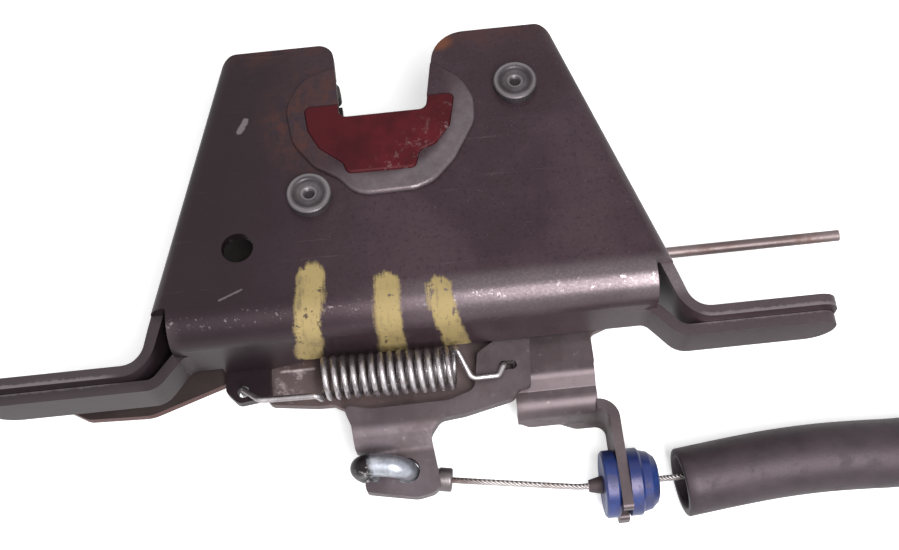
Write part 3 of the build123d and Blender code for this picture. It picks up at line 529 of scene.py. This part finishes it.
# painted shade darkens the hook's left end, with chipped plating and a painted glint below
def hookDetails(net, look, color, cloud):
    ragged = (net.noise(240, 5.0, 0.7) - 0.5) * 5.0
    burnt = net.step(net.x + ragged, *look["burntRun"])
    color = net.mix(burnt * 0.97, color, look["burnt"])
    chips = burnt * net.step(net.y, *look["chipsRun"]) * net.step(net.noise(520, 5.0, 0.7), 0.52, 0.62)
    return net.mix(chips * 0.7, color, look["chips"])


paint(steelMaterial("rivet_steel", rivetLook, rivetDetails), "catch_rivet", "lever_rivet", "stop_pin")
paint(
    steelMaterial("bush_steel", bushLook),
    "catch_bush", "lever_bush", "catch_spacer", "lever_spacer", "catch_washer", "lever_washer",
)
paint(steelMaterial("spring_steel", springLook), "catch_spring", "extension_spring")
paint(steelMaterial("hook_zinc", hookLook, hookDetails), "cable_hook", "conduit_end", "far_nipple")
paint(steelMaterial("ferrule_steel", ferruleLook), "ferrule")

strandLook = {
    "gap": (0.22, 0.19, 0.19, 1.0),
    "wire": (0.66, 0.62, 0.61, 1.0),
    "grease": (0.20, 0.13, 0.11, 1.0),
    "brown": (0.085, 0.05, 0.045, 1.0),
    "twist": (7.5, 5.0, 10.0),
    "brownRun": (22.0, 14.0),
}


def strandMaterial(look):
    net = Surface("strand_steel")
    perX, perY, perZ = look["twist"]
    twist = (net.x * perX + net.y * perY + net.z * perZ).wave()
    cloud = net.noise(200, 4.0, 0.6)
    color = net.mix(net.step(twist, -0.6, 0.7), look["gap"], look["wire"])
    color = net.mix(net.step(cloud, 0.5, 0.7) * 0.35, color, look["grease"])
    color = net.mix(net.step(net.x + cloud * 8, *look["brownRun"]) * 0.8, color, look["brown"])
    return net.finish(color, 0.35 + cloud * 0.1, 0.8, twist * 0.5, 0.15)


paint(strandMaterial(strandLook), "inner_wire", "far_wire")

print("materials: plastic and rubber")
bumperLook = {
    "red": (0.040, 0.0035, 0.006, 1.0),
    "pale": (0.080, 0.007, 0.011, 1.0),
    "shade": (0.028, 0.0025, 0.0045, 1.0),
    "marks": (0.42, 0.30, 0.31, 1.0),
    "shadeRun": (0.0, -16.0),
    "scuffedCorner": (14.0, 30.0),
    "lowEdge": -23.6,
    "rimWidth": (0.8, 0.2),
    "shine": 0.15,
}


def bumperMaterial(look):
    net = Surface("bumper_red")
    cloud = net.noise(90, 5.0, 0.6)
    grain = net.noise(1100, 4.0, 0.6)
    color = net.mix(net.step(cloud, 0.35, 0.65), look["red"], look["pale"])
    color = net.mix(net.step(net.x, *look["shadeRun"]) * 0.5, color, look["shade"])
    lowRight = net.step(net.x * 0.8 - net.y, *look["scuffedCorner"])
    scuffs = net.step(net.noise(520, 6.0, 0.75), 0.54, 0.68) * lowRight
    lines = net.step(net.noise(230, 5.0, 0.8, (1.6, 0.5, 1.0)), 0.58, 0.66) * lowRight
    rim = net.step(abs(net.y - look["lowEdge"]), *look["rimWidth"]) * net.step(grain, 0.4, 0.6)
    marks = (scuffs * 0.55 + lines * 0.35 + rim * 0.5).clamp()
    color = net.mix(marks, color, look["marks"])
    height = grain * 0.4 + scuffs * 0.6 + cloud * 0.5
    rough = 0.46 + cloud * 0.12 + marks * 0.2
    return net.finish(color, rough, 0.0, height, 0.10, Specular_IOR_Level=look["shine"])


paint(bumperMaterial(bumperLook), "bumper")

plasticTint = (1.0, 0.84, 0.92, 1.0)
plasticLook = {
    "grime": (0.05, 0.04, 0.035, 1.0),
    "grimy": 0.3,
    "grainDepth": 0.05,
}
grommetLook = {
    **plasticLook,
    "base": (0.009, 0.022, 0.105, 1.0),
    "pale": (0.016, 0.042, 0.175, 1.0),
    "rough": 0.36,
    "grimy": 0.45,
}
sealLook = {
    **plasticLook,
    "base": (0.020, 0.013, 0.014, 1.0),
    "pale": (0.045, 0.032, 0.033, 1.0),
    "rough": 0.6,
    "grainDepth": 0.08,
}
coatLook = {
    **plasticLook,
    "base": (0.022, 0.021, 0.020, 1.0),
    "pale": (0.045, 0.042, 0.040, 1.0),
    "rough": 0.5,
    "grainDepth": 0.06,
}
tieLook = {
    **plasticLook,
    "base": (0.42, 0.42, 0.40, 1.0),
    "pale": (0.56, 0.56, 0.53, 1.0),
    "rough": 0.42,
    "grimy": 0.15,
    "grainDepth": 0.04,
}
hoseLook = {
    **plasticLook,
    "base": (0.016, 0.011, 0.0135, 1.0),
    "pale": (0.030, 0.021, 0.025, 1.0),
    "grime": (0.05, 0.040, 0.043, 1.0),
    "rough": 0.5,
    "grimy": 0.25,
    "grainDepth": 0.07,
}
conduitLook = {
    **plasticLook,
    "base": (0.018, 0.015, 0.0165, 1.0),
    "pale": (0.032, 0.027, 0.029, 1.0),
    "rough": 0.38,
    "grainDepth": 0.03,
}


def plasticMaterial(name, look):
    net = Surface(name)
    cloud = net.noise(110, 5.0, 0.6)
    grain = net.noise(1400, 4.0, 0.6)
    color = net.mix(net.step(cloud, 0.35, 0.68), look["base"], look["pale"])
    grime = net.step(net.noise(210, 6.0, 0.72), 0.5, 0.66)
    color = net.mix(grime * look["grimy"], color, look["grime"])
    rough = look["rough"] + (cloud - 0.5) * 0.2 + grime * 0.15
    return net.finish(color, rough, 0.0, grain * 0.6 + cloud * 0.6, look["grainDepth"], Specular_Tint=plasticTint)


paint(plasticMaterial("grommet_blue", grommetLook), "grommet")
paint(plasticMaterial("seal_dark", sealLook), "grommet_seal")
paint(plasticMaterial("coat_black", coatLook), "catch_coat")
paint(plasticMaterial("tie_white", tieLook), "coil_tie")

print("rear lip")
rearLip = {
    "outline": (
        (24.0, -68.0), (20.5, -70.4), (16.8, -73.9), (13.5, -75.3),
        (-12.5, -75.3), (-17.0, -73.7), (-20.5, -71.7), (-20.5, -68.0),
    ),
    "low": 13.62,
    "high": 16.08,
}


def flatPiece(name, piece):
    count = len(piece["outline"])
    vertices = [(x * mm, y * mm, z * mm) for z in (piece["low"], piece["high"]) for x, y in piece["outline"]]
    sides = [(i, i + count, (i + 1) % count + count, (i + 1) % count) for i in range(count)]
    ends = [tuple(range(count)), tuple(range(2 * count - 1, count - 1, -1))]
    return meshPiece(name, vertices, ends + sides)


lip = flatPiece("rear_lip", rearLip)
paint(rearCoating, lip)
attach(lip, "housing")

print("cords")
hose = {
    "radius": 8.5,
    "wall": 2.1,
    "rimRound": 0.35,
    "around": 64,
    "route": (
        (64.0, -99.0, 8.5), (81.0, -97.0, 8.5), (96.5, -96.2, 8.5),
        (109.0, -96.5, 8.5), (120.0, -97.2, 8.5), (169.0, -97.2, 8.5),
    ),
}
cable = {
    "radius": 2.5,
    "height": 3.3,
    "coilMiddle": (197.0, -64.7),
    "turns": (32.5, 27.5),
    "tailRadius": 22.0,
    "tailEnd": 60.0,
    "startAngle": -75.0,
    "stepAngle": 30.0,
    "start": (
        (86.0, -96.6, 4.65), (109.0, -96.5, 4.65), (120.0, -97.2, 4.65),
        (170.0, -97.2, 4.65), (180.0, -97.2, 3.5), (188.3, -97.2, 3.3),
    ),
}


def routeCurve(name, points, radius=0.0):
    curve = bpy.data.curves.new(name, "CURVE")
    curve.dimensions = "3D"
    spline = curve.splines.new("NURBS")
    spline.points.add(len(points) - 1)
    for place, point in zip(spline.points, points):
        place.co = (*[value * mm for value in point], 1.0)
    spline.order_u = 3
    spline.use_endpoint_u = True
    spline.resolution_u = 8
    curve.bevel_depth = radius * mm
    curve.bevel_resolution = 6
    curve.use_fill_caps = radius > 0
    return placed(name, curve)


def routePath(name, points):
    guide = routeCurve(name + "_guide", points)
    bpy.context.view_layer.update()
    line = bpy.data.meshes.new_from_object(guide)
    path = [vertex.co.copy() for vertex in line.vertices]
    bpy.data.objects.remove(guide)
    bpy.data.meshes.remove(line)
    return path


# one wall of the tube as (path index, shift along the path, radius), with a rounded rim at both ends
def tubeWall(last, radius, rimRound, inward):
    ends = radius + rimRound * inward
    wall = [(0, 0.0, ends), (0, rimRound, radius)]
    wall += [(index, 0.0, radius) for index in range(1, last)]
    return wall + [(last, -rimRound, radius), (last, 0.0, ends)]


def hollowTube(name, path, hose):
    last = len(path) - 1
    outer = tubeWall(last, hose["radius"], hose["rimRound"], -1)
    inner = tubeWall(last, hose["radius"] - hose["wall"], hose["rimRound"], 1)
    profile = outer + inner[::-1]
    around = hose["around"]
    vertices = []
    for index, shift, reach in profile:
        along = (path[min(index + 1, last)] - path[max(index - 1, 0)]).normalized()
        side = along.cross(Vector((0, 0, 1))).normalized()
        up = side.cross(along)
        centre = path[index] + along * shift * mm
        for turn in range(around):
            angle = 2 * math.pi * turn / around
            vertices.append(centre + (side * math.cos(angle) + up * math.sin(angle)) * reach * mm)
    faces = []
    for ring in range(len(profile)):
        here = ring * around
        there = (ring + 1) % len(profile) * around
        for turn in range(around):
            beside = (turn + 1) % around
            faces.append((here + turn, here + beside, there + beside, there + turn))
    made = meshPiece(name, vertices, faces)
    smooth(made, 50)
    return made


def coilRoute(cable):
    points = list(cable["start"])
    middleX, middleY = cable["coilMiddle"]
    tailY = middleY - cable["turns"][-1] + cable["tailRadius"]
    spread = 1.0 / math.cos(math.radians(cable["stepAngle"] / 2))

    def arc(centreY, radius, degrees):
        angle = math.radians(degrees)
        return (middleX + radius * math.cos(angle), centreY + radius * math.sin(angle), cable["height"])

    for radius in cable["turns"]:
        for part in range(12):
            points.append(arc(middleY, radius * spread, cable["startAngle"] + cable["stepAngle"] * part))
    for part in range(5):
        points.append(arc(tailY, cable["tailRadius"] * spread, cable["startAngle"] + cable["stepAngle"] * part))
    points.append(arc(tailY, cable["tailRadius"], cable["tailEnd"]))
    return points


sleevePath = routePath("hose_sleeve", hose["route"])
sleeve = hollowTube("hose_sleeve", sleevePath, hose)
paint(plasticMaterial("hose_rubber", hoseLook), sleeve)
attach(sleeve, "housing")
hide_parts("sleeve")

conduit = routeCurve("cable_conduit", coilRoute(cable), cable["radius"])
paint(plasticMaterial("conduit_black", conduitLook), conduit)
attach(conduit, "housing")
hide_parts("conduit", "conduit_coil", "conduit_tail")

print("stage")
studio = {
    "floorColor": (0.93, 0.93, 0.93, 1.0),
    "floorGlow": (0.5, 0.5, 0.5, 1.0),
    "floorReach": 3.0,
    "skyColor": (1.0, 1.0, 1.0, 1.0),
    "skyLight": 0.24,
}
lamps = {
    "key": {"place": (0.14, -0.41, 0.53), "target": (0.05, -0.06, 0.03), "wide": 0.16, "high": 0.50, "power": 5.6},
    "fill": {"place": (-0.50, -0.45, 0.55), "target": (-0.03, -0.06, 0.03), "wide": 0.7, "high": 0.7, "power": 1.0},
}
view = {
    "distance": 300.0,
    "elevation": 65.5,
    "roll": 5.9,
    "focal": 1260.0,
    "target": (12.337, -52.175, 43.5),
    "width": 899.0,
}


# the floor keeps the shadow, and glows a little for the camera alone so that it stays pale far off
def floorMaterial(studio):
    net = Surface("floor_pale")
    seen = net.value(net.node("ShaderNodeLightPath"), "Is Camera Ray")
    glow = net.mix(seen, (0.0, 0.0, 0.0, 1.0), studio["floorGlow"])
    return net.finish(studio["floorColor"], 0.9, 0.0, Emission_Color=glow, Emission_Strength=1.0)


reach = studio["floorReach"]
corners = [(-reach, -reach, 0), (reach, -reach, 0), (reach, reach, 0), (-reach, reach, 0)]
floor = meshPiece("floor", corners, [(0, 1, 2, 3)])
paint(floorMaterial(studio), floor)

# the sky is white to look at, also in gloss, and lights the object less than that
world = bpy.data.worlds.new("studio")
bpy.context.scene.world = world
world.use_nodes = True
sky = Net(world.node_tree)
sky.tree.nodes.clear()
rays = sky.node("ShaderNodeLightPath")
shown = sky.value(rays, "Is Camera Ray") + sky.value(rays, "Is Glossy Ray") + sky.value(rays, "Is Transmission Ray")
strength = studio["skyLight"] + shown.clamp() * (1.0 - studio["skyLight"])
background = sky.node("ShaderNodeBackground", None, {"Color": studio["skyColor"], "Strength": strength})
sky.node("ShaderNodeOutputWorld", None, {"Surface": sky.value(background)})

for name, settings in lamps.items():
    lamp = bpy.data.lights.new(name, "AREA")
    lamp.shape = "RECTANGLE"
    lamp.size = settings["wide"]
    lamp.size_y = settings["high"]
    lamp.energy = settings["power"]
    made = placed(name, lamp)
    made.location = settings["place"]
    aim = Vector(settings["target"]) - Vector(settings["place"])
    made.rotation_euler = aim.to_track_quat("-Z", "Y").to_euler()

camera = bpy.data.cameras.new("camera")
camera.sensor_width = 36.0
camera.lens = view["focal"] / view["width"] * camera.sensor_width
camera.clip_start = 0.01
cameraObject = placed("camera", camera)
elevation = math.radians(view["elevation"])
lean = math.radians(view["roll"])
back = Vector((0.0, -math.cos(elevation), math.sin(elevation)))
right = (-back).cross(Vector((0, 0, 1))).normalized()
up = right.cross(-back)
imageRight = right * math.cos(lean) - up * math.sin(lean)
imageUp = right * math.sin(lean) + up * math.cos(lean)
place = (Vector(view["target"]) + back * view["distance"]) * mm
turn = Matrix((imageRight, imageUp, back)).transposed().to_4x4()
cameraObject.matrix_world = Matrix.Translation(place) @ turn
bpy.context.scene.camera = cameraObject
bpy.context.scene.view_settings.view_transform = "Standard"

bpy.context.view_layer.update()
